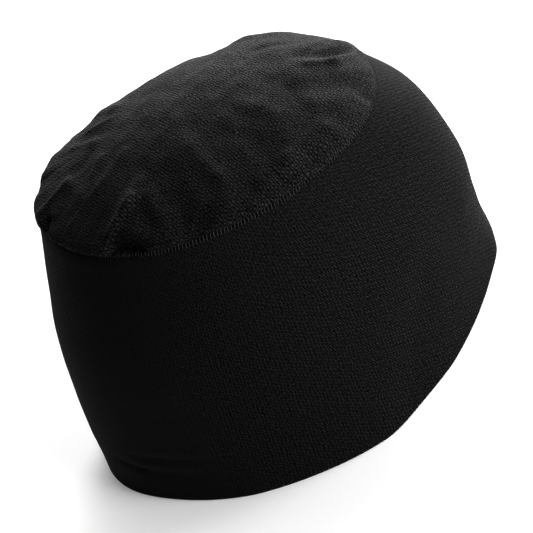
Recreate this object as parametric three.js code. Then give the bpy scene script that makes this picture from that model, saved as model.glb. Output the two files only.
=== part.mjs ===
import * as THREE from "three";

// A close-fitting winter cap of black knit, standing on its hem. Sizes are in millimetres.
// +X points to the forehead, +Y to the wearer's left and +Z up. Angles run round the head from
// the forehead, in degrees, positive towards the wearer's left.
// It is sewn from a deep side panel with a turned hem and a loose oval crown panel. Their seam
// allowance lies inside, against the top of the side panel.

// Driving sizes
const OVAL_CENTRE_X = 4.4;
const SEAM_HEIGHT_FRONT = 121.5;
const SEAM_HEIGHT_BACK = 132;
const CROWN_TOP_HEIGHT = 149;
const CROWN_FLAT_SHARE = 0.47;
const BROW_ARCH = 20.8;
const BROW_ARCH_FROM_COSINE = 0.19;
const BROW_ARCH_POWER = 1.33;
const SIDE_WALL = 2;
const CROWN_WALL = 1.4;
const HEM_WALL = 3.4;
const HEM_WIDTH = 19;
const HEM_EDGE_ROUND = 0.6;
const HEM_EDGE_HEIGHT = 1.2;
const PIECE_GAP = 0.3;
const ALLOWANCE_WALL = 1.2;
const ALLOWANCE_HEIGHT = 5;
const FOLD_FREE_EDGE = 0.12;

// Oval sections of the side panel, from the hem up to the crown seam. Share is the part of the
// panel's height, front and back are reaches from the oval's centre, side is the half width, and
// narrowing is how much slimmer the forehead is than a plain ellipse.
const SECTIONS = [
  { share: 0, front: 97.1, back: 110.8, side: 82.8, narrowing: 0.12 },
  { share: 0.28, front: 99.8, back: 105.8, side: 83, narrowing: 0.07 },
  { share: 0.56, front: 101.8, back: 97.6, side: 82.1, narrowing: 0.02 },
  { share: 0.82, front: 96.8, back: 84.9, side: 77, narrowing: -0.03 },
  { share: 1, front: 84.6, back: 75.2, side: 71, narrowing: -0.06 },
];

// How the crown leaves its seam, at three places round the head: the first control point of its
// profile lies this far above the seam, and this far outside it (inside where negative).
const CROWN_RIM = {
  front: { rise: 14, lean: -3.2 },
  side: { lean: -2.2 },
  back: { rise: 4.4, lean: 4.9 },
};

// Folds of the loose crown, as ridges and valleys (negative height) along straight lines in plan.
const CROWN_FOLDS = [
  { name: "gather ridge", fromX: -46, fromY: -50, toX: -29, toY: -39, width: 4, height: 3.4 },
  { name: "gather ridge top", fromX: -29, fromY: -39, toX: -12, toY: -20, width: 4.5, height: 1.8 },
  { name: "gather valley", fromX: -39, fromY: -41, toX: -27, toY: -23, width: 5.5, height: -2.2 },
  { name: "gather valley top", fromX: -27, fromY: -23, toX: -19, toY: -15, width: 4.5, height: -1.3 },
  { name: "tucked pocket", fromX: -38, fromY: -54, toX: -29, toY: -63, width: 4.5, height: -4.4 },
  { name: "pocket lip", fromX: -35, fromY: -49, toX: -27, toY: -60, width: 4, height: 2 },
  { name: "nape pocket", fromX: -66, fromY: -11, toX: -68, toY: -20, width: 4, height: -2.6 },
  { name: "nape fold edge", fromX: -67, fromY: -3, toX: -53, toY: 1, width: 4, height: 2 },
  { name: "nape hollow", fromX: -53, fromY: -8, toX: -62, toY: -21, width: 4.5, height: -2.2 },
  { name: "nape lip ridge", fromX: -66, fromY: -23, toX: -53, toY: -28, width: 4, height: 1.8 },
  { name: "rear long rib", fromX: -38, fromY: -21, toX: -22, toY: -9, width: 4, height: 0.9 },
  { name: "rear valley", fromX: -43, fromY: 2, toX: -36, toY: 8, width: 4, height: -1.2 },
  { name: "edge streak", fromX: -41, fromY: 34, toX: -19, toY: 27, width: 4, height: 1.3 },
  { name: "edge valley", fromX: -40, fromY: 24, toX: -28, toY: 18, width: 4, height: -1.1 },
  { name: "side hollow", fromX: -9, fromY: -39, toX: -6, toY: -60, width: 6.5, height: -1.6 },
  { name: "upper hollow", fromX: -6, fromY: -21, toX: 2, toY: -37, width: 5, height: -1.4 },
  { name: "drape ridge", fromX: 7, fromY: -29, toX: 14, toY: -52, width: 4.5, height: 1.8 },
  { name: "drape ridge foot", fromX: 14, fromY: -52, toX: 22, toY: -69, width: 4.5, height: 1.3 },
  { name: "seam pucker", fromX: -2, fromY: -67, toX: 5, toY: -64, width: 4, height: -1.6 },
  { name: "seam bump", fromX: 6, fromY: -65, toX: 13, toY: -65, width: 4.5, height: 1.5 },
  { name: "low swell", fromX: -18, fromY: -43, toX: -13, toY: -60, width: 5, height: 1 },
  { name: "temple ridge", fromX: 28, fromY: -60, toX: 50, toY: -53, width: 6, height: 1.6 },
  { name: "temple pucker", fromX: 38, fromY: -64, toX: 45, toY: -60, width: 4.5, height: -1.4 },
  { name: "middle hollow", fromX: 25, fromY: -11, toX: 35, toY: -28, width: 5, height: -0.9 },
  { name: "middle hollow foot", fromX: 35, fromY: -28, toX: 42, toY: -48, width: 5, height: -1.1 },
  { name: "brow crease", fromX: 49, fromY: -6, toX: 54, toY: -15, width: 4.5, height: -1.1 },
  { name: "brow crease foot", fromX: 54, fromY: -15, toX: 58, toY: -44, width: 4.5, height: -1.3 },
  { name: "brow ridge", fromX: 65, fromY: 5, toX: 74, toY: 2, width: 4, height: 1.8 },
  { name: "brow ridge end", fromX: 74, fromY: 2, toX: 87, toY: 16, width: 4, height: 1.8 },
  { name: "brow valley", fromX: 68, fromY: 5, toX: 75, toY: 12, width: 4, height: -1.6 },
  { name: "brow valley end", fromX: 75, fromY: 12, toX: 85, toY: 14, width: 4, height: -1.6 },
  { name: "brow low valley", fromX: 65, fromY: -1, toX: 74, toY: -16, width: 4.5, height: -1.3 },
  { name: "brow low valley end", fromX: 74, fromY: -16, toX: 86, toY: 0, width: 4.5, height: -1.6 },
  { name: "far temple swell", fromX: 46, fromY: 58, toX: 58, toY: 51, width: 9, height: 1.4 },
  { name: "far side dip", fromX: -24, fromY: 59, toX: -10, toY: 65, width: 7, height: -1 },
  { name: "far rear dip", fromX: -54, fromY: 43, toX: -46, toY: 50, width: 6, height: -1.2 },
  { name: "far nape swell", fromX: -64, fromY: 28, toX: -58, toY: 36, width: 6, height: 1.3 },
  { name: "far drape valley", fromX: 18, fromY: 32, toX: 24, toY: 60, width: 6, height: -1.4 },
  { name: "far drape ridge", fromX: 2, fromY: 34, toX: 6, toY: 60, width: 5, height: 1.2 },
  { name: "far gather ridge", fromX: -34, fromY: 52, toX: -24, toY: 38, width: 4.5, height: 1.8 },
];

// Folds of the side panel, along lines given by an angle round the head and a height.
const SIDE_FOLDS = [
  { name: "temple crease", fromAngle: -68, fromHeight: 12, toAngle: -51, toHeight: 52, width: 9, height: -1.2 },
  { name: "right heel slack", fromAngle: -140, fromHeight: 0, toAngle: -140, toHeight: 8, width: 26, height: -1.6 },
  { name: "left heel slack", fromAngle: 141, fromHeight: 0, toAngle: 141, toHeight: 8, width: 26, height: -1.6 },
  { name: "brow lip", fromAngle: -18, fromHeight: 20, toAngle: 18, toHeight: 20, width: 11, height: 1.1 },
  { name: "nape slack ridge", fromAngle: -166, fromHeight: 19, toAngle: -136, toHeight: 20, width: 3, height: 0.9 },
  { name: "nape slack valley", fromAngle: -166, fromHeight: 25, toAngle: -132, toHeight: 25, width: 3, height: -0.9 },
];
const GIRTH_PER_DEGREE = 1.58;

// Mesh density: heights above the hem, shares of the wall above them, and rings of the crown
// from the seam inward, which need fewer columns as they get shorter.
const COLUMNS = 100;
const COLUMN_CROWDING_AT_NAPE = 0.28;
const HEM_ROWS = [0, HEM_EDGE_HEIGHT, 9, HEM_WIDTH - 2, HEM_WIDTH + 0.5, 23, 28];
const WALL_ROWS = [0.18, 0.4, 0.62, 0.82, 1];
const CROWN_RINGS = [
  { inward: [0, 0.06, 0.12, 0.18, 0.24, 0.3, 0.36, 0.42, 0.48], columns: COLUMNS },
  { inward: [0.54, 0.6, 0.67, 0.74], columns: COLUMNS / 2 },
  { inward: [0.82, 0.91], columns: COLUMNS / 4 },
  { inward: [1], columns: 1 },
];

const UP = new THREE.Vector3(0, 0, 1);
const RADIANS = Math.PI / 180;

const sectionCurve = new THREE.CubicInterpolant(
  SECTIONS.map((row) => row.share),
  SECTIONS.flatMap((row) => [row.front, row.back, row.side, row.narrowing]),
  4,
);

function hemHeight(angle) {
  const past = (Math.cos(angle) - BROW_ARCH_FROM_COSINE) / (1 - BROW_ARCH_FROM_COSINE);
  return BROW_ARCH * Math.max(past, 0) ** BROW_ARCH_POWER;
}

function seamHeight(angle) {
  const forward = (1 + Math.cos(angle)) / 2;
  return THREE.MathUtils.lerp(SEAM_HEIGHT_BACK, SEAM_HEIGHT_FRONT, forward);
}

// Height of all the folds of a table at one place: each is a soft ridge whose height falls off
// with the distance from its line, so its ends are round.
function foldHeight(lines, place) {
  let height = 0;
  for (const line of lines) {
    const nearest = line.path.closestPointToPoint(place, true, new THREE.Vector3());
    const distance = nearest.distanceTo(place) / line.width;
    height += line.height * Math.exp(-distance * distance);
  }
  return height;
}

const crownFoldLines = CROWN_FOLDS.map((row) => ({
  ...row,
  path: new THREE.Line3(
    new THREE.Vector3(row.fromX, row.fromY, 0),
    new THREE.Vector3(row.toX, row.toY, 0),
  ),
}));

const sideFoldLines = SIDE_FOLDS.map((row) => ({
  ...row,
  path: new THREE.Line3(
    new THREE.Vector3(row.fromAngle * GIRTH_PER_DEGREE, row.fromHeight, 0),
    new THREE.Vector3(row.toAngle * GIRTH_PER_DEGREE, row.toHeight, 0),
  ),
}));

// Outward normal of a surface that is a function of the angle round the head and a share.
function normalOf(surface, angle, share) {
  const step = 0.002;
  const low = Math.max(share - step, 0);
  const high = Math.min(share + step, 1);
  const along = surface(angle + step, share).sub(surface(angle - step, share));
  const upward = surface(angle, high).sub(surface(angle, low));
  return along.cross(upward).normalize();
}

// The side panel as drafted, before any fold: an egg-shaped oval at each share of its height.
function sideBase(angle, share) {
  const [front, back, side, narrowing] = sectionCurve.evaluate(share);
  const cosine = Math.cos(angle);
  const forward = Math.max(cosine, 0);
  return new THREE.Vector3(
    OVAL_CENTRE_X + cosine * (cosine > 0 ? front : back),
    side * Math.sin(angle) * (1 - narrowing * forward * forward),
    THREE.MathUtils.lerp(hemHeight(angle), seamHeight(angle), share),
  );
}

function levelNormalOf(surface, angle, share) {
  return normalOf(surface, angle, share).setZ(0).normalize();
}

// The side panel's outer skin, with its folds and the rounded fold of the hem's edge.
function sideSkin(angle, share) {
  const point = sideBase(angle, share);
  const signedAngle = Math.atan2(Math.sin(angle), Math.cos(angle)) / RADIANS;
  const place = new THREE.Vector3(signedAngle * GIRTH_PER_DEGREE, point.z, 0);
  const aboveHem = point.z - hemHeight(angle);
  const edge = Math.max(1 - aboveHem / HEM_EDGE_HEIGHT, 0);
  const belowSeam = THREE.MathUtils.smoothstep(1 - share, 0, 0.1);
  const offset = foldHeight(sideFoldLines, place) * belowSeam - HEM_EDGE_ROUND * edge * edge;
  return point.addScaledVector(levelNormalOf(sideBase, angle, share), offset);
}

// The crown panel as drafted: at each angle, a cubic curve from the seam up over the rim to a low
// dome. At the nape it swells out over the seam.
function crownBase(angle, inward) {
  const rim = sideBase(angle, 1);
  const centre = new THREE.Vector3(OVAL_CENTRE_X, 0, 0);
  const outward = rim.clone().sub(centre).setZ(0).normalize();
  const forward = (1 + Math.cos(angle)) / 2;
  const rise = THREE.MathUtils.lerp(CROWN_RIM.back.rise, CROWN_RIM.front.rise, forward);
  const lean =
    CROWN_RIM.front.lean * Math.max(Math.cos(angle), 0) ** 2 +
    CROWN_RIM.back.lean * Math.max(-Math.cos(angle), 0) ** 2 +
    CROWN_RIM.side.lean * Math.sin(angle) ** 2;
  rim.z += PIECE_GAP;
  const leaving = rim.clone().addScaledVector(outward, lean).setZ(rim.z + rise);
  const flat = rim.clone().lerp(centre, 1 - CROWN_FLAT_SHARE).setZ(CROWN_TOP_HEIGHT);
  const middle = centre.clone().setZ(CROWN_TOP_HEIGHT);
  return new THREE.CubicBezierCurve3(rim, leaving, flat, middle).getPoint(inward);
}

function crownNormal(surface, angle, inward) {
  return inward === 1 ? UP.clone() : normalOf(surface, angle, inward);
}

// The crown panel's outer skin: its folds stand on the drafted dome and die out at the seam. None
// is pushed downwards, so the crown stays above the seam all round.
function crownSkin(angle, inward) {
  const point = crownBase(angle, inward);
  const place = point.clone().setZ(0);
  const free = THREE.MathUtils.smoothstep(inward, 0, FOLD_FREE_EDGE);
  const height = foldHeight(crownFoldLines, place) * free;
  const outward = crownNormal(crownBase, angle, inward);
  return point.addScaledVector(outward.setZ(Math.max(outward.z, 0)).normalize(), height);
}

function columnAngles(count) {
  return Array.from({ length: count }, (_, column) => {
    const even = (2 * Math.PI * column) / count;
    return even + COLUMN_CROWDING_AT_NAPE * Math.sin(even);
  });
}

// Closed solid through a loop of rings: up the outer skin, down the inner skin and back to the
// first ring. Neighbouring rings may differ in their number of points, by a whole factor.
function solidThrough(rings) {
  const positions = rings.flat().flatMap((point) => point.toArray());
  const triangles = [];
  let first = 0;
  rings.forEach((lower, index) => {
    const upper = rings[(index + 1) % rings.length];
    const upperFirst = index + 1 < rings.length ? first + lower.length : 0;
    const steps = Math.max(lower.length, upper.length);
    const indexOn = (ring, start, step) => start + (Math.floor((step * ring.length) / steps) % ring.length);
    for (let step = 0; step < steps; step += 1) {
      const low = indexOn(lower, first, step);
      const nextLow = indexOn(lower, first, step + 1);
      const high = indexOn(upper, upperFirst, step);
      const nextHigh = indexOn(upper, upperFirst, step + 1);
      if (low !== nextLow) triangles.push(low, nextLow, nextHigh);
      if (high !== nextHigh) triangles.push(low, nextHigh, high);
    }
    first += lower.length;
  });
  const geometry = new THREE.BufferGeometry();
  geometry.setAttribute("position", new THREE.Float32BufferAttribute(positions, 3));
  geometry.setIndex(triangles);
  geometry.computeVertexNormals();
  return geometry;
}

// Side panel: a single knit wall, doubled over the width of the turned hem.
function sidePanel() {
  const angles = columnAngles(COLUMNS);
  const lastHemRow = HEM_ROWS[HEM_ROWS.length - 1];
  const risesAt = (angle) => {
    const rest = seamHeight(angle) - hemHeight(angle) - lastHemRow;
    return [...HEM_ROWS, ...WALL_ROWS.map((share) => lastHemRow + share * rest)];
  };
  const rings = (depthAt) =>
    risesAt(0).map((_, row) =>
      angles.map((angle) => {
        const rise = risesAt(angle)[row];
        const share = rise / (seamHeight(angle) - hemHeight(angle));
        const outward = levelNormalOf(sideSkin, angle, share);
        return sideSkin(angle, share).addScaledVector(outward, -depthAt(rise));
      }),
    );
  const wallAt = (rise) => {
    const wall = rise < HEM_WIDTH ? HEM_WALL : SIDE_WALL;
    return rise === 0 ? wall - 2 * HEM_EDGE_ROUND : wall;
  };
  return solidThrough([...rings(() => 0), ...rings(wallAt).reverse()]);
}

// Crown panel: one thin knit wall, gathered into the seam. Where a pocket is tucked in over the
// seam, the inner skin stays above the side panel's edge.
function crownPanel() {
  const rings = (depth) =>
    CROWN_RINGS.flatMap(({ inward, columns }) =>
      inward.map((share) =>
        columnAngles(columns).map((angle) => {
          const outward = crownNormal(crownSkin, angle, share);
          const point = crownSkin(angle, share).addScaledVector(outward, -depth);
          return point.setZ(Math.max(point.z, seamHeight(angle) + PIECE_GAP));
        }),
      ),
    );
  return solidThrough([...rings(0), ...rings(CROWN_WALL).reverse()]);
}

// Seam allowance: the sewn edges of both panels, lying flat inside the top of the side panel.
function crownSeam() {
  const ring = (drop, depth) =>
    columnAngles(COLUMNS).map((angle) => {
      const share = 1 - drop / (seamHeight(angle) - hemHeight(angle));
      const outward = levelNormalOf(sideSkin, angle, share);
      return sideSkin(angle, share).addScaledVector(outward, -depth);
    });
  const near = SIDE_WALL + PIECE_GAP;
  const far = near + ALLOWANCE_WALL;
  return solidThrough([
    ring(ALLOWANCE_HEIGHT, near),
    ring(0, near),
    ring(0, far),
    ring(ALLOWANCE_HEIGHT, far),
  ]);
}

function piece(name, geometry, material) {
  const mesh = new THREE.Mesh(geometry, material);
  mesh.name = name;
  return mesh;
}

const sideKnit = new THREE.MeshStandardMaterial({ color: 0x0f0f10, roughness: 0.95, metalness: 0 });
const crownKnit = new THREE.MeshStandardMaterial({ color: 0x141415, roughness: 0.92, metalness: 0 });
const seamThread = new THREE.MeshStandardMaterial({ color: 0x19191a, roughness: 0.85, metalness: 0 });

const cap = new THREE.Group();
cap.add(piece("side_panel", sidePanel(), sideKnit));
cap.add(piece("crown_panel", crownPanel(), crownKnit));
cap.add(piece("crown_seam", crownSeam(), seamThread));

export default cap;
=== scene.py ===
"""A close-fitting winter cap of black knit, dressed in cloth, seam threads and turned hem."""

import math

import bpy
import numpy as np
from mathutils import Matrix, Vector


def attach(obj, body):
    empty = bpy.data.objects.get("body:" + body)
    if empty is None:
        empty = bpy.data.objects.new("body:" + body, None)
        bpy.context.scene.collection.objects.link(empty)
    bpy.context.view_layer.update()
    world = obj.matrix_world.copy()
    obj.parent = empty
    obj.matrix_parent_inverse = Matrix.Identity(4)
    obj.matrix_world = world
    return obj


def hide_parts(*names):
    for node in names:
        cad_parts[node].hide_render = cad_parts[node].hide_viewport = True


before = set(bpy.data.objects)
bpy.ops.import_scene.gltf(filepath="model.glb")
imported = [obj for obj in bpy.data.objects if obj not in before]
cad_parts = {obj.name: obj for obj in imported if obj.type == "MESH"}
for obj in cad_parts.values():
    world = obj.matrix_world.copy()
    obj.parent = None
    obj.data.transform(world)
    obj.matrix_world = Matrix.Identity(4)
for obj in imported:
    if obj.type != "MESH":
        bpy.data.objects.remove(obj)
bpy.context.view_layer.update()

# Lengths are in millimetres until a mesh is made. +X points to the forehead, +Y to the wearer's
# left and +Z up. Angles run round the head from the forehead.
MILLIMETRE = 0.001
CAP_SEED = 27

# Form as drafted. The seam's radius is its mean one.
OVAL_CENTRE_X = 4.4
SEAM_HEIGHT_FRONT = 121.5
SEAM_HEIGHT_BACK = 132.0
SEAM_RADIUS = 75
CROWN_TOP_HEIGHT = 149.0
CROWN_FLAT_SHARE = 0.47
BROW_ARCH = 20.8
BROW_ARCH_FROM_COSINE = 0.19
BROW_ARCH_POWER = 1.33
GIRTH_PER_DEGREE = 1.58
CAP_MIDDLE_HEIGHT = 70

# How the crown leaves its seam: how high the first control point of its curve stands above the
# seam, and how far out it leans
RIM_RISE_FRONT, RIM_RISE_BACK = 14, 4.4
RIM_LEAN_FRONT, RIM_LEAN_SIDE, RIM_LEAN_BACK = -3.2, -2.2, 4.9

# Cloth: thicknesses, the turned hem and the gap between the panels
SIDE_WALL = 2.0
CROWN_WALL = 1.4
HEM_WALL = 3.4
HEM_WIDTH = 19.0
HEM_EDGE_RADIUS = 1.0
HEM_EDGE_POINTS = 6
SEAM_GAP = 0.3

# Seam allowance inside: thickness, depth, the swing and number of its waves, how far the seam's
# ditch pushes it in as depth and width of a bell curve, the points round its section and the power
# that rounds the ends of it
ALLOWANCE_WALL = 1.2
ALLOWANCE_DROP = 5.0
ALLOWANCE_SWING = 0.25
ALLOWANCE_WAVES = 46
ALLOWANCE_PUSH = (0.9, 1.5)
ALLOWANCE_POINTS, ALLOWANCE_END_POWER = 24, -0.3

# Bell curves of relief: height and width, and for the two rolls the distance from the seam
SEAM_DITCH_WIDE = (0.2, 1.3)
SEAM_DITCH_NARROW = (0.4, 0.55)
HEM_GROOVE = (0.22, 1.4)
SIDE_ROLL = (0.25, 2.5, 4.5)
CROWN_ROLL = (0.3, 1.2, 2.6)

# Waves of loose cloth: step from the cap's seed, longest and shortest wave, and height. Shorter
# waves are lower, by a power of their length. The side's waves are closer together upwards by a
# factor, and the hem's puckers make its groove deeper and shallower.
SLACK_WAVES, SLACK_POWER, SLACK_SHARE = 10, 0.7, 3
SIDE_SLACK = (0, 90, 24, 0.22)
SIDE_SLACK_UPWARD = 1.3
HEM_PUCKER = (1, 14, 3.5, 1.0)
HEM_PUCKER_MEAN, HEM_PUCKER_SWING = 0.75, 0.35
CROWN_SLACK = (2, 34, 9, 0.32)
CROWN_GATHERS = (3, 16, 4, 1.0)

# Gathers of the crown: height, what the nape adds to it between two cosines, how far inwards they
# reach, and from where to where they rise beside the seam
GATHER_HEIGHT, GATHER_HEIGHT_AT_NAPE, GATHER_REACH = 0.2, 0.15, 9
GATHERS_AT_NAPE = (0.2, 0.9)
GATHERS_RISE = (0.5, 4)

# Shares of the way to the middle, and of the side's height, over which folds come free of the seam
CROWN_FREE_SHARE, SIDE_FREE_SHARE = 0.045, 0.1

# Columns of the meshes round the head, crowded towards the nape
CROWDING_AT_NAPE = 0.28
CROWN_COLUMNS, SIDE_COLUMNS, ALLOWANCE_COLUMNS = 600, 540, 400

# Rows of the crown's outer face: share of the way inwards from, to, and how many
CROWN_ROWS = ((0, 0.02, 7), (0.026, 0.12, 16), (0.13, 1, 80))
CROWN_INNER_ROWS = 36

# Rows of the side panel's outer face: the lowest are level with the hem up to one height, the
# highest stand at these distances below the seam, and the rest are shared out between them.
HEM_ROWS, HEM_ROWS_UP_TO = 44, 30
MIDDLE_ROWS, SEAM_ROWS_FROM = 38, 8
SEAM_ROWS = (7.2, 6.4, 5.6, 4.8, 4, 3.2, 2.6, 2, 1.6, 1.2, 0.9, 0.6, 0.4, 0.2, 0)

# Rows of its inner face: down to the hem's facing, over the facing's raw edge, each with a rise
# past the hem's width and a depth into the cloth, and down the facing
INNER_ROWS, FACING_TOP = 30, HEM_WIDTH + 1.4
FACING_EDGE_ROWS = ((0.6, SIDE_WALL + 0.1), (0.1, HEM_WALL - 0.5), (-0.4, HEM_WALL - 0.1))
FACING_ROWS, FACING_ROWS_FROM = 8, HEM_WIDTH - 1.2
FACING_EDGE_HALF = 0.6

# Stitches over the crown seam: how many, points along each and along the seam that they are spaced
# by, half their length and its spread, how far each end leans and strays, how far down they sit,
# and the radius of the thread, which tapers into its ends
SEAM_STITCHES, SEAM_STITCH_POINTS, SEAM_COURSE_POINTS = 304, 9, 2000
SEAM_STITCH_REACH, SEAM_STITCH_SPREAD = 1.0, (0.9, 1.1)
SEAM_STITCH_LEAN, SEAM_STITCH_STRAY = 0.35, 0.12
SEAM_STITCH_LOWERED = 0.35
SEAM_THREAD_RADIUS = 0.16
THREAD_END_TAPER = 0.35
STITCH_SEED_STEP = 5

# Their thread: its lift, how deep it sags in its middle and over the last share of its ends, and
# how much deeper it is drawn in over the brow and at the nape, each between two cosines
SEAM_STITCH_LIFT, SEAM_STITCH_SAG, SEAM_STITCH_SAG_POWER = 0.1, 0.2, 1.6
SEAM_STITCH_END_SAG, SEAM_STITCH_END_SHARE = 0.5, 0.25
SEAM_DRAWN_AT_BROW, SEAM_DRAWN_BROW = 0.45, (0.2, 0.7)
SEAM_DRAWN_AT_NAPE, SEAM_DRAWN_NAPE = 0.5, (0.3, 0.5)

# Overcast threads inside: loops round the head, and the two rises that they run between; then the
# points along each length and the radius
SEAM_OVERCAST = (150, ALLOWANCE_DROP - 0.2, ALLOWANCE_DROP - 2.6)
HEM_OVERCAST = (170, HEM_WIDTH - 2.2, HEM_WIDTH + 0.9)
OVERCAST_POINTS, OVERCAST_RADIUS = 6, 0.2

# Waves of each knit: how many to a metre of cloth, across and up, the share of each wave in the
# relief, and how much the loops stray. On the side whole numbers of waves go round the girth, which
# is in metres and runs at a share of the side's height.
SIDE_GIRTH, SIDE_GIRTH_SHARE = 0.58, 0.4
SIDE_WALES = 368
SIDE_COURSE_SHIFTS = 210
SIDE_WAVES = {
    "Wale Across": SIDE_WALES / SIDE_GIRTH,
    "Wale Up": -80,
    "Course Across": -SIDE_COURSE_SHIFTS / SIDE_GIRTH,
    "Course Up": -500,
    "Wale Share": 0.28,
    "Course Share": 0.24,
    "Rib Share": 0.43,
    "Cross Share": 0.0,
    "Unevenness": 1.0,
}
CROWN_WAVES = {
    "Wale Across": 160,
    "Wale Up": 560,
    "Course Across": -510,
    "Course Up": 235,
    "Wale Share": 0.62,
    "Course Share": 0.12,
    "Rib Share": 0.8,
    "Cross Share": 0.5,
    "Unevenness": 1.3,
}

# Stray noise of the loops: scale and detail, and how uneven it makes the yarn
WALE_STRAY, COURSE_STRAY, YARN_STRAY = (300.0, 2.0), (220.0, 2.0), (900.0, 1.0)
YARN_UNEVENNESS = 3.0
YARN_LIMIT = 2.0

# Finish of each knit: base tone, relief in millimetres, specular level, shine of the yarn, index of
# refraction of that shine, and fuzz. The base tone has painted shade in the gaps between loops and
# painted light on them, by two factors, which go to the two colour sockets of a mix.
SIDE_FINISH = {
    "base": 0.0017, "depth": 0.3, "specular": 0.01,
    "shine": 0.49, "coat_ior": 1.17, "fuzz": 0.006,
}
CROWN_FINISH = {
    "base": 0.0002, "depth": 0.45, "specular": 0.025,
    "shine": 0.39, "coat_ior": 1.32, "fuzz": 0.004,
}
KNIT_ROUGHNESS, FUZZ_ROUGHNESS = 0.85, 0.3
# Painted shade in the gaps between loops and painted light on the loops, as factors of the base
# tone
PAINTED_GAP_SHADE, PAINTED_LOOP_LIGHT = 0.2, 1.8
MIX_FACTOR, MIX_FIRST_COLOUR, MIX_SECOND_COLOUR, MIX_COLOUR = 0, 6, 7, 2
THREAD_FINISH = {"base": 0.004, "roughness": 0.72, "specular": 0.2, "coat_ior": 1.5}
THREAD_TWISTS, THREAD_TWIST_DEPTH, THREAD_TWIST_STRENGTH = 900.0, 0.08, 0.7

# Camera: degrees, metres, millimetres of aim beside the cap's middle, and millimetres of lens
CAMERA_TURN, CAMERA_TILT, CAMERA_ROLL = -8.06, 31.82, 30.79
CAMERA_DISTANCE = 1.19394
CAMERA_AIM_RIGHT, CAMERA_AIM_UP = 6.34, -10.2
CAMERA_LENS, CAMERA_SENSOR = 179.8, 36
CAMERA_SEES_TO = 20

# Studio panels: compass bearing from +X and height in degrees, distance and size in metres, and
# watts. The surround is black.
LIGHTS = {
    "front_panel": (0, 8, 1.8, 1.0, 54),
    "low_front_panel": (-20, 4, 1.8, 1.0, 23),
    "front_right_panel": (-45, 8, 1.8, 1.0, 80),
    "front_left_panel": (25, 5, 1.8, 1.0, 16),
    "rear_left_panel": (65, 5, 1.8, 1.0, 56),
    "high_left_panel": (65, 40, 1.8, 1.0, 20),
    "left_panel": (90, 12, 1.8, 1.0, 16),
    "overhead_panel": (90, 60, 1.8, 1.0, 6),
    "back_panel": (135, 30, 1.8, 1.0, 3),
}
SURROUND_STRENGTH = 0.0

# Floor: half its width and its level in metres, tone, finish and the glow that lights it from below
FLOOR_REACH, FLOOR_LEVEL = 3.0, -0.0002
FLOOR_CORNERS = ((-1, -1), (1, -1), (1, 1), (-1, 1))
FLOOR_TONE, FLOOR_ROUGHNESS, FLOOR_SPECULAR = 0.9, 0.9, 0.1
FLOOR_GLOW = 0.18

# Ovals of the side panel from hem to crown seam: share of the height, reach to the front, reach to
# the back, half width, and how much slimmer the forehead is than a plain ellipse.
SECTIONS = np.array([
    [0.00, 97.1, 110.8, 82.8, 0.12],
    [0.28, 99.8, 105.8, 83.0, 0.07],
    [0.56, 101.8, 97.6, 82.1, 0.02],
    [0.82, 96.8, 84.9, 77.0, -0.03],
    [1.00, 84.6, 75.2, 71.0, -0.06],
])

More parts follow.
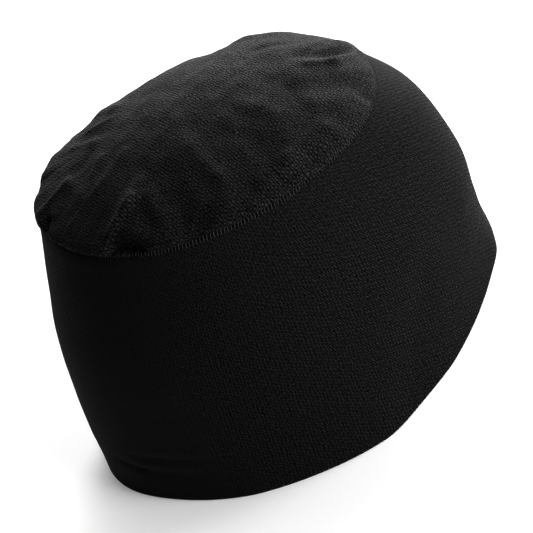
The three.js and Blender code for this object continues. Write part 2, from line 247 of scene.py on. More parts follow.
# Folds of the loose crown in plan: from x, from y, to x, to y, width, and height, which is negative
# in a valley.
CROWN_FOLDS = {
    "gather ridge": (-43.5, -52.5, -23.5, -41, 2.4, 2.1),
    "gather ridge back": (-45, -49, -25, -38, 4.2, 1.0),
    "gather ridge top": (-26, -42, -20, -34, 3.5, 0.9),
    "gather valley": (-40, -43, -27, -29, 4.5, -0.3),
    "tucked pocket": (-42, -53, -30, -63, 3.2, -3.0),
    "pocket bottom": (-40, -55, -33, -61.5, 2.0, -2.6),
    "pocket lip": (-33, -49, -26, -60, 3.0, 0.4),
    "nape pocket": (-65, -15, -68, -20, 2.4, -2.0),
    "nape fold edge": (-66, -6, -52, 0, 2.4, 0.9),
    "nape hollow": (-53, -10, -60, -21, 4.5, -0.3),
    "nape thin lip": (-62, -14, -66, -21, 1.8, 0.8),
    "nape lip ridge": (-65, -24, -53, -29, 3.0, 0.3),
    "nape side ridge": (-51, -2, -45, -21, 3.5, 0.6),
    "rear rib": (-39, -9, -33, -2, 2.2, 0.5),
    "rear long rib": (-38, -21, -22, -9, 3.0, 0.5),
    "rear valley": (-43, 2, -36, 8, 3.5, -0.5),
    "edge streak": (-39, 32, -26, 27, 2.4, 0.7),
    "edge valley": (-40, 24, -28, 18, 3.0, -0.4),
    "second streak": (-47, 26, -36, 17, 2.5, 0.5),
    "side hollow": (-9, -39, -6, -60, 6.5, -0.6),
    "drape ridge": (7, -29, 14, -52, 4.0, 0.6),
    "drape ridge foot": (14, -52, 22, -69, 4.5, 0.7),
    "seam pucker": (-2, -67, 5, -64, 3.5, -0.9),
    "pucker ridge": (-4, -66, 3, -59, 3.0, 0.6),
    "seam bump": (6, -65, 13, -65, 4.5, 1.0),
    "low swell": (-18, -43, -13, -60, 5.0, 0.7),
    "low dip": (-21, -45, -21, -58, 4.0, -0.6),
    "seam swell": (-19, -63, -15, -68, 4.0, 0.5),
    "temple ridge": (30, -61, 44, -54, 4.0, 1.2),
    "temple ridge front": (44, -54, 61, -44, 4.0, 1.1),
    "temple hollow": (30.5, -36, 36, -50, 5.0, -0.7),
    "temple pucker": (38, -62, 53, -56, 2.8, -0.8),
    "front pucker": (30, -67, 32, -65, 3.0, -0.6),
    "front seam ridge": (23, -70, 32, -67, 2.5, 0.7),
    "middle hollow": (25, -11, 35, -28, 4.0, -0.2),
    "middle hollow foot": (35, -28, 42, -48, 5.0, -0.4),
    "middle swell": (37, -19, 45, -28, 5.0, 0.4),
    "brow crease": (49, -6, 54, -15, 4.5, -0.35),
    "brow crease foot": (54, -15, 57, -36, 4.2, -0.5),
    "brow crease lip": (61, -39, 65, -44, 4.0, 0.5),
    "brow ridge": (66, 2, 76, 1, 2.8, 0.8),
    "brow ridge end": (76, 1, 87, 13, 2.8, 0.8),
    "brow valley": (67, 10, 76, 12, 4.5, -1.5),
    "brow valley end": (74, 10, 81, 12, 4.5, -1.2),
    "brow thin crease": (62, 10, 72, 19, 2.2, -0.6),
    "brow low valley": (63, -16, 79, -18, 7.5, -1.3),
    "brow corner dip": (83, -24, 84, -25, 3.0, -0.8),
    "far crease": (45, 29, 58, 27, 3.0, -0.6),
    "far temple swell": (46, 58, 58, 51, 9.0, 1.0),
    "far side dip": (-42, 50, -34, 54, 6.0, -1.3),
    "far rear dip": (-21, 58, -8, 61, 6.0, -1.8),
    "far middle dip": (-3, 62, 6, 62, 5.0, -0.9),
    "far nape swell": (-64, 28, -58, 36, 6.0, 0.9),
    "far drape valley": (18, 32, 24, 60, 6.0, -0.8),
    "far drape ridge": (2, 34, 5, 52, 5.0, 0.7),
    "far gather ridge": (-34, 52, -24, 38, 4.5, 1.2),
    "far brow swell": (42, 57, 60, 48, 6.0, 0.6),
    "far rim dip": (22, 60, 30, 59, 4.0, -1.0),
    "far rim bump": (36, 57, 41, 55, 4.0, 0.9),
    "far brow bump": (82, 25, 87, 17, 4.0, 0.9),
    "nape rim swell": (-70, -8, -69, 8, 6.0, 1.2),
    "low dark dip": (-12, -52, -6, -66, 7.0, -0.6),
}

# Folds of the side panel: from angle in degrees, from height, to angle, to height, width, and how
# far the fold stands out.
SIDE_FOLDS = {
    "temple crease": (-68, 12, -51, 52, 9.0, -1.2),
    "right heel slack": (-140, 0, -140, 8, 26.0, -1.6),
    "left heel slack": (141, 0, 141, 8, 26.0, -1.6),
    "brow lip": (-14, 20, 14, 20, 11.0, 1.1),
    "front fullness": (-22, 62, 22, 62, 12.0, 1.1),
    "right brow edge": (-52, 8, -14, 18, 10.0, 1.1),
    "left brow edge": (14, 18, 52, 8, 10.0, 1.1),
    "right hem flare": (-112, 3, -78, 3, 13.0, 0.9),
    "left hem flare": (78, 3, 112, 3, 13.0, 0.9),
    "nape crease": (-146, 26.5, -127, 25, 2.4, -0.7),
    "nape crease lip": (-149, 30, -124, 29.5, 2.0, 0.2),
    "nape crease lip foot": (-124, 29.5, -111, 24, 2.2, 0.25),
    "nape lower lip": (-145, 22, -122, 20.5, 2.0, 0.2),
    "nape hem crease": (-156, 21, -145, 17, 2.2, -0.7),
    "nape hem crease foot": (-145, 17, -125, 15, 2.2, -0.6),
    "nape high dip": (-147, 33, -140, 34, 2.0, -0.25),
}


def smooth_step(value, low, high):
    """0 below low, 1 above high, and a soft S between them."""
    share = np.clip((value - low) / (high - low), 0, 1)
    return share * share * (3 - 2 * share)


def unit(vectors):
    """Each vector divided by its own length."""
    return vectors / np.maximum(np.linalg.norm(vectors, axis=-1, keepdims=True), 1e-9)


def hem_height(angle):
    """Height of the hem: zero, and past the temples an arch that grows as a power of the cosine."""
    past = (np.cos(angle) - BROW_ARCH_FROM_COSINE) / (1 - BROW_ARCH_FROM_COSINE)
    return BROW_ARCH * np.maximum(past, 0) ** BROW_ARCH_POWER


def seam_height(angle):
    """Height of the crown seam: a tilted plane, lowest over the forehead."""
    forward = (1 + np.cos(angle)) / 2
    return SEAM_HEIGHT_BACK + (SEAM_HEIGHT_FRONT - SEAM_HEIGHT_BACK) * forward


def panel_height(angle):
    """Height of the side panel from hem to crown seam."""
    return seam_height(angle) - hem_height(angle)


def section_at(share):
    """Oval sizes at a share of the height: cubic pieces through the rows, each row's slope being
    the mean of the slopes of the straight lines on both sides of it."""
    knots, sizes = SECTIONS[:, 0], SECTIONS[:, 1:]
    secants = np.diff(sizes, axis=0) / np.diff(knots)[:, None]
    slopes = np.concatenate([secants[:1], (secants[:-1] + secants[1:]) / 2, secants[-1:]])
    row = np.clip(np.searchsorted(knots, share, side="right") - 1, 0, len(knots) - 2)
    length = (knots[row + 1] - knots[row])[..., None]
    p = (share[..., None] - knots[row][..., None]) / length
    return (
        sizes[row] * (1 + 2 * p) * (1 - p) ** 2
        + slopes[row] * length * p * (1 - p) ** 2
        + sizes[row + 1] * p**2 * (3 - 2 * p)
        - slopes[row + 1] * length * p**2 * (1 - p)
    )


def side_draft(angle, share):
    """The side panel as cut: at each share an oval whose front and back reaches differ, its half
    width narrowed towards the forehead by the square of the cosine, lofted from hem to seam."""
    angle, share = np.broadcast_arrays(angle, share)
    front, back, side, narrowing = np.moveaxis(section_at(share), -1, 0)
    cosine = np.cos(angle)
    forward = np.maximum(cosine, 0)
    x = OVAL_CENTRE_X + cosine * np.where(cosine > 0, front, back)
    y = side * np.sin(angle) * (1 - narrowing * forward**2)
    z = hem_height(angle) * (1 - share) + seam_height(angle) * share
    return np.stack([x, y, z], -1)


def crown_draft(angle, inward):
    """The crown as cut: at each angle a cubic curve from the seam over the rim to the middle, with
    a first control point that stands above the seam and leans out at the nape, in elsewhere."""
    angle, inward = np.broadcast_arrays(angle, inward)
    rim = side_draft(angle, np.ones_like(inward))
    rim[..., 2] += SEAM_GAP
    centre = np.array([OVAL_CENTRE_X, 0, 0])
    outward = unit((rim - centre) * [1, 1, 0])
    cosine = np.cos(angle)
    rise = RIM_RISE_BACK + (RIM_RISE_FRONT - RIM_RISE_BACK) * (1 + cosine) / 2
    lean = RIM_LEAN_FRONT * np.maximum(cosine, 0) ** 2 + RIM_LEAN_BACK * np.maximum(-cosine, 0) ** 2
    lean += RIM_LEAN_SIDE * np.sin(angle) ** 2
    leaving = rim + outward * lean[..., None]
    leaving[..., 2] += rise
    flat = rim + (centre - rim) * (1 - CROWN_FLAT_SHARE)
    flat[..., 2] = CROWN_TOP_HEIGHT
    middle = centre + [0, 0, CROWN_TOP_HEIGHT]
    p = inward[..., None]
    return (
        rim * (1 - p) ** 3
        + leaving * 3 * p * (1 - p) ** 2
        + flat * 3 * p**2 * (1 - p)
        + middle * p**3
    )


def normals_of(surface, angle, share):
    """Outward normal: the cross product of the steps along and up the surface."""
    step = 0.002
    low, high = np.maximum(share - step, 0), np.minimum(share + step, 1)
    along = surface(angle + step, share) - surface(angle - step, share)
    upward = surface(angle, high) - surface(angle, low)
    return unit(np.cross(along, upward))


def level_out(angle, share):
    """Level direction out of the side panel: its drafted normal without the upward part."""
    return unit(normals_of(side_draft, angle, share) * [1, 1, 0])


def bell(distance, height, width, place=0):
    """A height that falls off on both sides of its place as a bell curve of the width."""
    return height * np.exp(-(((distance - place) / width) ** 2))


def fold_relief(folds, x, y):
    """Sum of soft ridges: each falls off as a bell curve of the distance from its line."""
    relief = np.zeros_like(x)
    for from_x, from_y, to_x, to_y, width, height in folds:
        run_x, run_y = to_x - from_x, to_y - from_y
        along = ((x - from_x) * run_x + (y - from_y) * run_y) / (run_x**2 + run_y**2)
        along = np.clip(along, 0, 1)
        distance = np.hypot(x - from_x - along * run_x, y - from_y - along * run_y)
        relief += bell(distance, height, width)
    return relief


def slack_relief(x, y, slack):
    """Loose cloth: a sum of sine waves whose lengths fall by an even ratio, with seeded directions
    and phases, a shorter wave being lower."""
    step, longest, shortest, height = slack
    chance = np.random.default_rng(CAP_SEED + step)
    relief = np.zeros_like(x)
    for length in np.geomspace(longest, shortest, SLACK_WAVES):
        turn, phase = chance.uniform(0, 2 * math.pi, 2)
        wave = (x * math.cos(turn) + y * math.sin(turn)) * 2 * math.pi / length
        lower = (length / longest) ** SLACK_POWER
        relief += height * lower * np.sin(wave + phase) / SLACK_SHARE
    return relief


def seam_ditch(from_seam):
    """Depth of the ditch along the crown seam: a narrow bell curve within a wide one."""
    return bell(from_seam, *SEAM_DITCH_WIDE) + bell(from_seam, *SEAM_DITCH_NARROW)


def side_skin(angle, rise):
    """Outer face of the side panel at a rise above the hem: the draft moved level, outwards by its
    folds, the hem's stitched groove, the roll into the crown seam and a little slack."""
    angle, rise = np.broadcast_arrays(angle, rise)
    height = panel_height(angle)
    share = np.clip(rise / height, 0, 1)
    point = side_draft(angle, share)
    signed = np.degrees(np.arctan2(np.sin(angle), np.cos(angle))) * GIRTH_PER_DEGREE
    folds = np.array(list(SIDE_FOLDS.values())) * [GIRTH_PER_DEGREE, 1, GIRTH_PER_DEGREE, 1, 1, 1]
    relief = fold_relief(folds, signed, point[..., 2]) * smooth_step(1 - share, 0, SIDE_FREE_SHARE)
    from_seam = height - rise
    relief += slack_relief(point[..., 0], point[..., 2] * SIDE_SLACK_UPWARD, SIDE_SLACK)
    pucker = slack_relief(signed, signed * 0, HEM_PUCKER) * HEM_PUCKER_SWING + HEM_PUCKER_MEAN
    relief -= pucker * bell(rise, *HEM_GROOVE, HEM_WIDTH)
    relief -= seam_ditch(from_seam)
    relief += bell(from_seam, *SIDE_ROLL)
    level = level_out(angle, share)
    return point + level * relief[..., None], level


def crown_speed(angle):
    """How fast the crown's curve leaves the seam, in millimetres for each unit of inward."""
    step = 0.01
    first = crown_draft(angle, step + 0 * angle) - crown_draft(angle, 0 * angle)
    return np.linalg.norm(first, axis=-1) / step


def crown_skin(angle, inward):
    """Outer face of the crown: the draft moved outwards by its folds, by gathers that stand square
    to the seam and fade inwards, by the roll into the seam and by slack."""
    angle, inward = np.broadcast_arrays(angle, inward)
    point = crown_draft(angle, inward)
    x, y = point[..., 0], point[..., 1]
    free = smooth_step(inward, 0, CROWN_FREE_SHARE)
    from_seam = crown_speed(angle) * inward
    relief = fold_relief(CROWN_FOLDS.values(), x, y) * free
    relief += slack_relief(x, y, CROWN_SLACK) * free
    along = angle * SEAM_RADIUS
    gathers = slack_relief(along, along * 0, CROWN_GATHERS)
    at_nape = smooth_step(-np.cos(angle), *GATHERS_AT_NAPE)
    height = GATHER_HEIGHT + GATHER_HEIGHT_AT_NAPE * at_nape
    gathers = gathers * bell(from_seam, height, GATHER_REACH)
    relief += gathers * smooth_step(from_seam, *GATHERS_RISE)
    relief -= seam_ditch(from_seam)
    relief += bell(from_seam, *CROWN_ROLL)
    outward = normals_of(crown_draft, angle, inward)
    outward[..., 2] = np.maximum(outward[..., 2], 0)
    outward = unit(np.where(inward[..., None] > 0.999, np.array([0.0, 0.0, 1.0]), outward))
    return point + outward * relief[..., None], outward


def column_angles(count):
    """Angles of the columns, one more than count so that the last repeats the first, crowded
    towards the nape by a sine."""
    even = np.linspace(0, 2 * math.pi, count + 1)
    return even + CROWDING_AT_NAPE * np.sin(even)


def cloth_mesh(name, rings, pattern):
    """Closed shell through a stack of rings, (rows, columns + 1, 3) in millimetres, where each last
    column repeats the first and the last ring meets the first. A ring of one single place is a
    pole, and nothing joins two poles that follow each other. Pattern gives the cloth's own flat
    coordinates, in metres, at the same places."""
    rows, columns = rings.shape[0], rings.shape[1] - 1
    pole = np.ptp(rings.reshape(rows, -1, 3), axis=1).max(-1) < 1e-9
    counts = np.where(pole, 1, columns)
    firsts = np.concatenate([[0], np.cumsum(counts)])[:-1]
    steps = np.arange(columns + 1)
    order = firsts[:, None] + np.where(pole[:, None], 0, steps % columns)
    source = np.arange(rows)[:, None] * (columns + 1) + steps
    below, above = np.arange(rows), (np.arange(rows) + 1) % rows

    def corners(grid, kept, picks):
        low, high = grid[below[kept]], grid[above[kept]]
        places = [low[:, :-1], low[:, 1:], high[:, 1:], high[:, :-1]]
        return np.stack([places[pick] for pick in picks], -1).reshape(-1, len(picks))

    plain = ~pole[below] & ~pole[above]
    into_pole = ~pole[below] & pole[above]
    out_of_pole = pole[below] & ~pole[above]
    kinds = [(plain, (0, 1, 2, 3)), (into_pole, (0, 1, 2)), (out_of_pole, (0, 2, 3))]
    faces = [corners(order, kept, picks) for kept, picks in kinds]
    places = [corners(source, kept, picks) for kept, picks in kinds]
    used = np.concatenate([source[row, : counts[row]] for row in range(rows)])
    mesh = bpy.data.meshes.new(name)
    points = rings.reshape(-1, 3)[used] * MILLIMETRE
    mesh.from_pydata(points.tolist(), [], [face for kind in faces for face in kind.tolist()])
    layer = mesh.uv_layers.new(name="cloth")
    flat = pattern.reshape(-1, 2)[np.concatenate([place.ravel() for place in places])]
    layer.data.foreach_set("uv", flat.astype(np.float32).ravel())
    return placed(name, mesh)


def placed(name, mesh):
    """An object at the origin that shows the mesh, smoothly shaded."""
    mesh.shade_smooth()
    mesh.update()
    made = bpy.data.objects.new(name, mesh)
    bpy.context.scene.collection.objects.link(made)
    return made


def crown_face(angles, shares, depth):
    """One face of the crown at shares from the seam inwards, pushed in by depth, and its flat
    cloth: each place at its own distance from the middle, measured along the draft."""
    angle, share = np.meshgrid(angles, shares)
    point, outward = crown_skin(angle, share)
    point = point - outward * depth
    point[..., 2] = np.maximum(point[..., 2], seam_height(angle) + SEAM_GAP)
    order = np.argsort(shares)[::-1]
    draft = crown_draft(angle, share)[order]
    lengths = np.linalg.norm(np.diff(draft, axis=0), axis=-1)
    reach = np.empty_like(angle)
    reach[order] = np.concatenate([np.zeros((1, len(angles))), np.cumsum(lengths, 0)])
    way = unit((crown_draft(angles, 0 * angles) - [OVAL_CENTRE_X, 0, 0]) * [1, 1, 0])
    return point, way[None, :, :2] * reach[..., None] * MILLIMETRE


def make_crown():
    """Crown panel: its outer face from the seam to the middle, and its inner face back."""
    angles = column_angles(CROWN_COLUMNS)
    outer = crown_face(angles, np.concatenate([np.linspace(*rows) for rows in CROWN_ROWS]), 0)
    inner = crown_face(angles, np.linspace(1, 0, CROWN_INNER_ROWS), CROWN_WALL)
    rings, flat = (np.concatenate(pair) for pair in zip(outer, inner))
    return cloth_mesh("crown_cloth", rings, flat)


def make_side():
    """Side panel: up its outer face, over the seam's edge, down its inner face, down the doubled
    hem behind its stitched edge and round the folded bottom. Each row is a rise, made of a fixed
    part and a share of the panel's height, and a depth into the cloth."""
    bend = np.linspace(0, math.pi / 2, HEM_EDGE_POINTS)[1:-1]
    radius, hem = HEM_EDGE_RADIUS, HEM_WALL
    rows = [(radius * (1 - math.sin(a)), 0, radius * (1 - math.cos(a))) for a in bend[::-1]]
    rows += [(rise, 0, 0) for rise in np.linspace(radius, HEM_ROWS_UP_TO, HEM_ROWS)]
    between = HEM_ROWS_UP_TO + SEAM_ROWS_FROM
    rows += [(HEM_ROWS_UP_TO - between * s, s, 0) for s in np.linspace(0, 1, MIDDLE_ROWS)[1:]]
    rows += [(-below, 1, 0) for below in SEAM_ROWS]
    rows += [(0, 1, SIDE_WALL)]
    rows += [(FACING_TOP * (1 - s), s, SIDE_WALL) for s in np.linspace(1, 0, INNER_ROWS)[1:]]
    rows += [(HEM_WIDTH + past, 0, depth) for past, depth in FACING_EDGE_ROWS]
    rows += [(rise, 0, hem) for rise in np.linspace(FACING_ROWS_FROM, radius, FACING_ROWS)]
    rows += [(radius * (1 - math.sin(a)), 0, hem - radius * (1 - math.cos(a))) for a in bend]
    rows += [(0, 0, hem - radius), (0, 0, radius)]
    fixed, share, depth = np.array(rows).T[..., None]
    angles = column_angles(SIDE_COLUMNS)[None, :]
    rise = fixed + share * panel_height(angles)
    point, level = side_skin(angles, rise)
    middle = side_draft(angles[0], SIDE_GIRTH_SHARE + 0 * angles[0])
    around = np.cumsum(np.linalg.norm(np.diff(middle, axis=0), axis=-1))
    around = np.concatenate([[0], around / around[-1]]) * SIDE_GIRTH
    flat = np.stack([np.broadcast_to(around, rise.shape), rise * MILLIMETRE], -1)
    return cloth_mesh("side_cloth", point - level * depth[..., None], flat)


def across_seam(angle, distance, lift):
    """A place near the crown seam: a distance up on the crown, or down on the side where negative,
    lifted off the cloth as drafted."""
    down = np.clip(1 + distance / panel_height(angle), 0, 1)
    up = np.clip(distance / crown_speed(angle), 0, 1)
    on_crown = distance[..., None] > 0
    point = np.where(on_crown, crown_draft(angle, up), side_draft(angle, down))
    outward = unit(normals_of(crown_draft, angle, up) + normals_of(side_draft, angle, down))
    return point + outward * lift[..., None]


def thread_mesh(name, paths, radius, sides=6):
    """Threads along paths, (threads, points, 3) in millimetres: round tubes, each ring square to
    the path, tapering into closed ends."""
    threads, count = paths.shape[:2]
    ahead = unit(np.gradient(paths, axis=1))
    middle = paths.mean((0, 1))
    aside = unit(np.cross(ahead, unit(paths - middle)))
    upward = np.cross(aside, ahead)
    turn = np.linspace(0, 2 * math.pi, sides, endpoint=False)
    taper = np.ones(count)
    taper[[0, -1]] = THREAD_END_TAPER
    across, over = np.cos(turn)[:, None], np.sin(turn)[:, None]
    ring = aside[:, :, None] * across + upward[:, :, None] * over
    points = paths[:, :, None] + ring * (radius * taper)[:, None, None]
    index = np.arange(threads * count * sides).reshape(threads, count, sides)
    after = np.roll(index, -1, axis=2)
    walls = np.stack([index[:, :-1], index[:, 1:], after[:, 1:], after[:, :-1]], -1)
    caps = np.concatenate([index[:, 0], index[:, -1, ::-1]])
    faces = walls.reshape(-1, 4).tolist() + caps.tolist()
    mesh = bpy.data.meshes.new(name)
    mesh.from_pydata((points.reshape(-1, 3) * MILLIMETRE).tolist(), [], faces)
    return placed(name, mesh)


def make_seam_stitches():
    """Ladder of short threads over the crown seam, evenly spaced along it and leaning a little.
    Each sags into the ditch at its middle and into the cloth at its ends, and is drawn deeper where
    the cosine of its angle nears 1, over the brow, or -1, at the nape."""
    chance = np.random.default_rng(CAP_SEED + STITCH_SEED_STEP)
    course = column_angles(SEAM_COURSE_POINTS)
    seam = side_draft(course, np.ones_like(course))
    travelled = np.cumsum(np.linalg.norm(np.diff(seam, axis=0), axis=-1))
    places = np.linspace(0, travelled[-1], SEAM_STITCHES, endpoint=False)
    angles = np.interp(places, np.concatenate([[0], travelled]), course)[:, None]
    over = np.linspace(-1, 1, SEAM_STITCH_POINTS)[None, :]
    reach = SEAM_STITCH_REACH * chance.uniform(*SEAM_STITCH_SPREAD, angles.shape)
    distance = over * reach - SEAM_STITCH_LOWERED
    stray = chance.uniform(-SEAM_STITCH_STRAY, SEAM_STITCH_STRAY, angles.shape)
    lean = over * SEAM_STITCH_LEAN + stray
    outer, cosine = np.abs(over), np.cos(angles)
    end = np.maximum(outer - 1 + SEAM_STITCH_END_SHARE, 0) / SEAM_STITCH_END_SHARE
    lift = SEAM_STITCH_LIFT - SEAM_STITCH_SAG * (1 - outer) ** SEAM_STITCH_SAG_POWER
    lift = lift - SEAM_STITCH_END_SAG * end
    lift = lift - SEAM_DRAWN_AT_BROW * smooth_step(cosine, *SEAM_DRAWN_BROW)
    lift = lift - SEAM_DRAWN_AT_NAPE * smooth_step(-cosine, *SEAM_DRAWN_NAPE)
    paths = across_seam(angles + lean / SEAM_RADIUS, distance, lift)
    return thread_mesh("seam_stitches", paths, SEAM_THREAD_RADIUS)


def make_seam_allowance():
    """Sewn edges of both panels, turned down inside the side panel: a band with round edges and a
    slight wave, whose rings go round its own section."""
    angles = column_angles(ALLOWANCE_COLUMNS)[None, :]
    around = np.linspace(0, 2 * math.pi, ALLOWANCE_POINTS + 1)[:-1, None]
    rounded = np.cos(around) * np.abs(np.cos(around)) ** ALLOWANCE_END_POWER
    drop = ALLOWANCE_DROP / 2 * (1 - rounded)
    depth = SIDE_WALL + SEAM_GAP + ALLOWANCE_WALL / 2 * (1 - np.sin(around))
    share = 1 - np.maximum(drop, 0) / panel_height(angles)
    point = side_draft(angles, share)
    level = level_out(*np.broadcast_arrays(angles, share))
    wave = ALLOWANCE_SWING * np.sin(angles * ALLOWANCE_WAVES) * drop / ALLOWANCE_DROP
    depth = depth + bell(drop, *ALLOWANCE_PUSH) + ALLOWANCE_SWING + wave
    rings = point - level * depth[..., None]
    flat = np.stack(np.broadcast_arrays(angles * SEAM_RADIUS, -drop), -1) * MILLIMETRE
    return cloth_mesh("seam_allowance", rings, flat)


def make_edge_stitches(name, place, loops, low, high):
    """Overcast thread along a raw edge inside: a zigzag between two rises, in short lengths."""
    angles = column_angles(loops * 2)
    corner = np.stack([angles[:-1], angles[1:]], -1)
    along = np.linspace(0, 1, OVERCAST_POINTS)[None, :]
    angle = corner[:, :1] * (1 - along) + corner[:, 1:] * along
    upward = (np.arange(loops * 2) % 2)[:, None]
    rise = low + (high - low) * np.where(upward == 1, 1 - along, along)
    return thread_mesh(name, place(angle, rise), OVERCAST_RADIUS, sides=5)


def allowance_edge(angle, rise):
    """A place on the inner face of the seam allowance, a rise below the seam."""
    share = 1 - rise / panel_height(angle)
    depth = SIDE_WALL + SEAM_GAP + ALLOWANCE_WALL + ALLOWANCE_SWING + OVERCAST_RADIUS
    return side_draft(angle, share) - level_out(angle, share) * depth


def facing_edge(angle, rise):
    """A place on the inner face of the turned hem, near its raw edge."""
    point, level = side_skin(angle, rise)
    step = smooth_step(rise, HEM_WIDTH - FACING_EDGE_HALF, HEM_WIDTH + FACING_EDGE_HALF)
    depth = HEM_WALL - step * (HEM_WALL - SIDE_WALL) + OVERCAST_RADIUS / 2
    return point - level * depth[..., None]


def shader_group(name, inputs, outputs):
    """An empty shader node group with sockets: (name, type, default) in, (name, type) out."""
    group = bpy.data.node_groups.new(name, "ShaderNodeTree")
    for label, kind, default in inputs:
        socket = group.interface.new_socket(label, in_out="INPUT", socket_type=kind)
        if default is not None:
            socket.default_value = default
    for label, kind in outputs:
        group.interface.new_socket(label, in_out="OUTPUT", socket_type=kind)
    return group, group.nodes.new("NodeGroupInput"), group.nodes.new("NodeGroupOutput")


class Wiring:
    """Short ways to place maths nodes in a node tree."""

    def __init__(self, tree):
        self.tree = tree

    def maths(self, operation, *values):
        """A Math node; each value is a number or a socket."""
        node = self.tree.nodes.new("ShaderNodeMath")
        node.operation = operation
        for socket, value in zip(node.inputs, values):
            if isinstance(value, (int, float)):
                socket.default_value = value
            else:
                self.tree.links.new(value, socket)
        return node.outputs[0]

    def node(self, kind, settings=None, **links):
        """A node of a kind, with its settings, and its inputs linked or set by name."""
        node = self.tree.nodes.new(kind)
        for label, value in (settings or {}).items():
            setattr(node, label, value)
        for label, value in links.items():
            socket = node.inputs[label.replace("_", " ")]
            if isinstance(value, bpy.types.NodeSocket):
                self.tree.links.new(value, socket)
            else:
                socket.default_value = value
        return node


def knit_loops_group():
    """Knit as a lattice of loops: wales and courses are two cosine waves that cross the cloth, and
    a loop stands where their crests meet. A third wave, the difference of both, runs the loops
    together into leaning ribs, and a fourth, their sum, into cross ribs. Height is the relief and
    Yarn the same with uneven loops. Waves are counted on each metre."""
    group, given, made = shader_group(
        "knit loops",
        [("Cloth", "NodeSocketVector", None)]
        + [(label, "NodeSocketFloat", value) for label, value in SIDE_WAVES.items()],
        [("Height", "NodeSocketFloat"), ("Yarn", "NodeSocketFloat")],
    )
    w = Wiring(group)
    cloth = given.outputs["Cloth"]
    flat = w.node("ShaderNodeSeparateXYZ", Vector=cloth)

    def stray(scale, detail):
        flat_noise = {"noise_dimensions": "2D"}
        noise = w.node("ShaderNodeTexNoise", flat_noise, Vector=cloth, Scale=scale, Detail=detail)
        return w.maths("SUBTRACT", noise.outputs["Fac"], 0.5)

    def phase(across, up, bend):
        along = w.maths("MULTIPLY", flat.outputs["X"], given.outputs[across])
        along = w.maths("MULTIPLY_ADD", flat.outputs["Y"], given.outputs[up], along)
        return w.maths("MULTIPLY_ADD", bend, given.outputs["Unevenness"], along)

    def wave(place, share):
        crest = w.maths("COSINE", w.maths("MULTIPLY", place, 2 * math.pi))
        return w.maths("MULTIPLY", crest, given.outputs[share])

    wale = phase("Wale Across", "Wale Up", stray(*WALE_STRAY))
    course = phase("Course Across", "Course Up", stray(*COURSE_STRAY))
    crossing = w.maths("ADD", wave(wale, "Wale Share"), wave(course, "Course Share"))
    ribs = wave(w.maths("SUBTRACT", wale, course), "Rib Share")
    cross_ribs = wave(w.maths("ADD", wale, course), "Cross Share")
    height = w.maths("ADD", w.maths("ADD", crossing, w.maths("ADD", ribs, cross_ribs)), 0.5)
    uneven = w.maths("MULTIPLY_ADD", stray(*YARN_STRAY), YARN_UNEVENNESS, 1.0)
    yarn = w.node("ShaderNodeClamp", Value=w.maths("MULTIPLY", height, uneven), Max=YARN_LIMIT)
    group.links.new(height, made.inputs["Height"])
    group.links.new(yarn.outputs["Result"], made.inputs["Yarn"])
    return group


def tone(value):
    """A grey colour of one value, with full alpha."""
    return (value, value, value, 1)


def finish_material(name, base, roughness, specular, coat_ior):
    """A material whose constant finish values stand on the shader's own sockets."""
    material = bpy.data.materials.new(name)
    material.use_nodes = True
    tree = material.node_tree
    shader = tree.nodes["Principled BSDF"]
    shader.inputs["Roughness"].default_value = roughness
    shader.inputs["Base Color"].default_value = tone(base)
    shader.inputs["Specular IOR Level"].default_value = specular
    shader.inputs["Coat Roughness"].default_value = roughness
    shader.inputs["Coat IOR"].default_value = coat_ior
    return material, Wiring(tree), shader


def knit_material(name, loops, waves, base, depth, specular, shine, coat_ior, fuzz):
    """Black knit: the yarn of each loop gives back a soft light, less so between the loops, and
    short fuzz catches light at the edges. Its base colour has painted shade between the loops and
    painted light on them."""
    material, w, shader = finish_material(name, base, KNIT_ROUGHNESS, specular, coat_ior)
    shader.inputs["Sheen Weight"].default_value = fuzz
    shader.inputs["Sheen Roughness"].default_value = FUZZ_ROUGHNESS
    cloth = w.node("ShaderNodeUVMap", {"uv_map": "cloth"})
    knit = w.tree.nodes.new("ShaderNodeGroup")
    knit.node_tree = loops
    w.tree.links.new(cloth.outputs["UV"], knit.inputs["Cloth"])
    for label, value in waves.items():
        knit.inputs[label].default_value = value
    # Base colour with painted shade between the loops and painted light on them, mixed by the yarn
    # mask
    colour = w.node("ShaderNodeMix", {"data_type": "RGBA"})
    w.tree.links.new(knit.outputs["Yarn"], colour.inputs[MIX_FACTOR])
    colour.inputs[MIX_FIRST_COLOUR].default_value = tone(base * PAINTED_GAP_SHADE)
    colour.inputs[MIX_SECOND_COLOUR].default_value = tone(base * PAINTED_LOOP_LIGHT)
    w.tree.links.new(colour.outputs[MIX_COLOUR], shader.inputs["Base Color"])
    w.tree.links.new(w.maths("MULTIPLY", knit.outputs["Yarn"], shine), shader.inputs["Coat Weight"])
    height = knit.outputs["Height"]
    relief = w.node("ShaderNodeBump", Height=height, Distance=depth * MILLIMETRE, Strength=1.0)
    w.tree.links.new(relief.outputs["Normal"], shader.inputs["Normal"])
    return material


def thread_material():
    """Sewing thread: twisted plies as fine slanting waves."""
    material, w, shader = finish_material("black_thread", **THREAD_FINISH)
    place = w.node("ShaderNodeTexCoord").outputs["Object"]
    slanting = {"bands_direction": "DIAGONAL"}
    twist = w.node("ShaderNodeTexWave", slanting, Vector=place, Scale=THREAD_TWISTS, Distortion=1.0)
    relief = w.node(
        "ShaderNodeBump",
        Height=twist.outputs["Fac"],
        Distance=THREAD_TWIST_DEPTH * MILLIMETRE,
        Strength=THREAD_TWIST_STRENGTH,
    )
    w.tree.links.new(relief.outputs["Normal"], shader.inputs["Normal"])
    return material


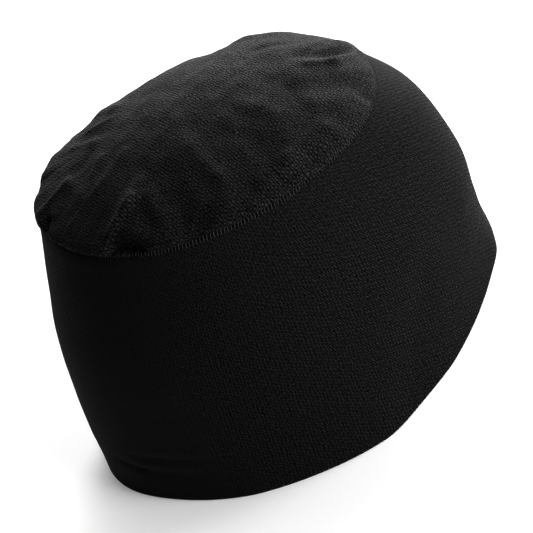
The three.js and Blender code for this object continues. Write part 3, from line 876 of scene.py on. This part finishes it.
def make_floor():
    """A wide plain pale floor just under the hem, lit a little from beneath like a light table."""
    mesh = bpy.data.meshes.new("floor")
    corners = [(x * FLOOR_REACH, y * FLOOR_REACH, FLOOR_LEVEL) for x, y in FLOOR_CORNERS]
    mesh.from_pydata(corners, [], [(0, 1, 2, 3)])
    floor = bpy.data.objects.new("floor", mesh)
    bpy.context.scene.collection.objects.link(floor)
    material = bpy.data.materials.new("pale_floor")
    material.use_nodes = True
    shader = material.node_tree.nodes["Principled BSDF"]
    shader.inputs["Base Color"].default_value = tone(FLOOR_TONE)
    shader.inputs["Roughness"].default_value = FLOOR_ROUGHNESS
    shader.inputs["Specular IOR Level"].default_value = FLOOR_SPECULAR
    shader.inputs["Emission Color"].default_value = tone(1)
    shader.inputs["Emission Strength"].default_value = FLOOR_GLOW
    mesh.materials.append(material)


def make_camera():
    """Camera on the cap's right side, a little above it and rolled."""
    turn, tilt, roll = (math.radians(a) for a in (CAMERA_TURN, CAMERA_TILT, CAMERA_ROLL))
    level = math.cos(tilt)
    back = Vector((-math.sin(turn) * level, -math.cos(turn) * level, math.sin(tilt)))
    right = Vector((math.cos(turn), -math.sin(turn), 0))
    up = back.cross(right)
    right, up = (
        right * math.cos(roll) - up * math.sin(roll),
        right * math.sin(roll) + up * math.cos(roll),
    )
    centre = Vector((OVAL_CENTRE_X, 0, CAP_MIDDLE_HEIGHT)) * MILLIMETRE
    place = centre + back * CAMERA_DISTANCE
    aim = centre + (right * CAMERA_AIM_RIGHT + up * CAMERA_AIM_UP) * MILLIMETRE
    back = (place - aim).normalized()
    right = (right - back * right.dot(back)).normalized()
    up = back.cross(right)
    lens = bpy.data.cameras.new("camera")
    lens.sensor_width = CAMERA_SENSOR
    lens.lens = CAMERA_LENS
    lens.clip_end = CAMERA_SEES_TO
    camera = bpy.data.objects.new("camera", lens)
    bpy.context.scene.collection.objects.link(camera)
    turned = Matrix((right, up, back)).transposed().to_4x4()
    camera.matrix_world = Matrix.Translation(place) @ turned
    bpy.context.scene.camera = camera


def make_lights():
    """Soft round studio panels about the cap, each facing its middle, in a black surround."""
    for name, (bearing, height, distance, size, watts) in LIGHTS.items():
        panel = bpy.data.lights.new(name, "AREA")
        panel.shape = "DISK"
        panel.size, panel.energy = size, watts
        light = bpy.data.objects.new(name, panel)
        turn, tilt = math.radians(bearing), math.radians(height)
        level = math.cos(tilt)
        toward = Vector((math.cos(turn) * level, math.sin(turn) * level, math.sin(tilt)))
        light.location = Vector((0, 0, CAP_MIDDLE_HEIGHT * MILLIMETRE)) + toward * distance
        light.rotation_euler = toward.to_track_quat("Z", "Y").to_euler()
        bpy.context.scene.collection.objects.link(light)
    world = bpy.data.worlds.new("surround")
    world.use_nodes = True
    background = world.node_tree.nodes["Background"]
    background.inputs["Color"].default_value = tone(1)
    background.inputs["Strength"].default_value = SURROUND_STRENGTH
    bpy.context.scene.world = world


crown, side = make_crown(), make_side()
seam_stitches, allowance = make_seam_stitches(), make_seam_allowance()
seam_overcast = make_edge_stitches("seam_overcast", allowance_edge, *SEAM_OVERCAST)
hem_overcast = make_edge_stitches("hem_overcast", facing_edge, *HEM_OVERCAST)

loops = knit_loops_group()
side_knit = knit_material("side_knit", loops, SIDE_WAVES, **SIDE_FINISH)
crown_knit = knit_material("crown_knit", loops, CROWN_WAVES, **CROWN_FINISH)
thread = thread_material()
for piece, material, slot, node in (
    (side, side_knit, "side_knit", "side_panel"),
    (crown, crown_knit, "crown_knit", "crown_panel"),
    (allowance, side_knit, "side_knit", "crown_seam"),
    (seam_stitches, thread, "seam_thread", None),
    (seam_overcast, thread, "seam_thread", None),
    (hem_overcast, thread, "seam_thread", None),
):
    piece.data.materials.append(material)
    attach(piece, "root")
    if node:
        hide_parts(node)

make_floor()
make_camera()
make_lights()
bpy.context.scene.view_settings.view_transform = "Standard"
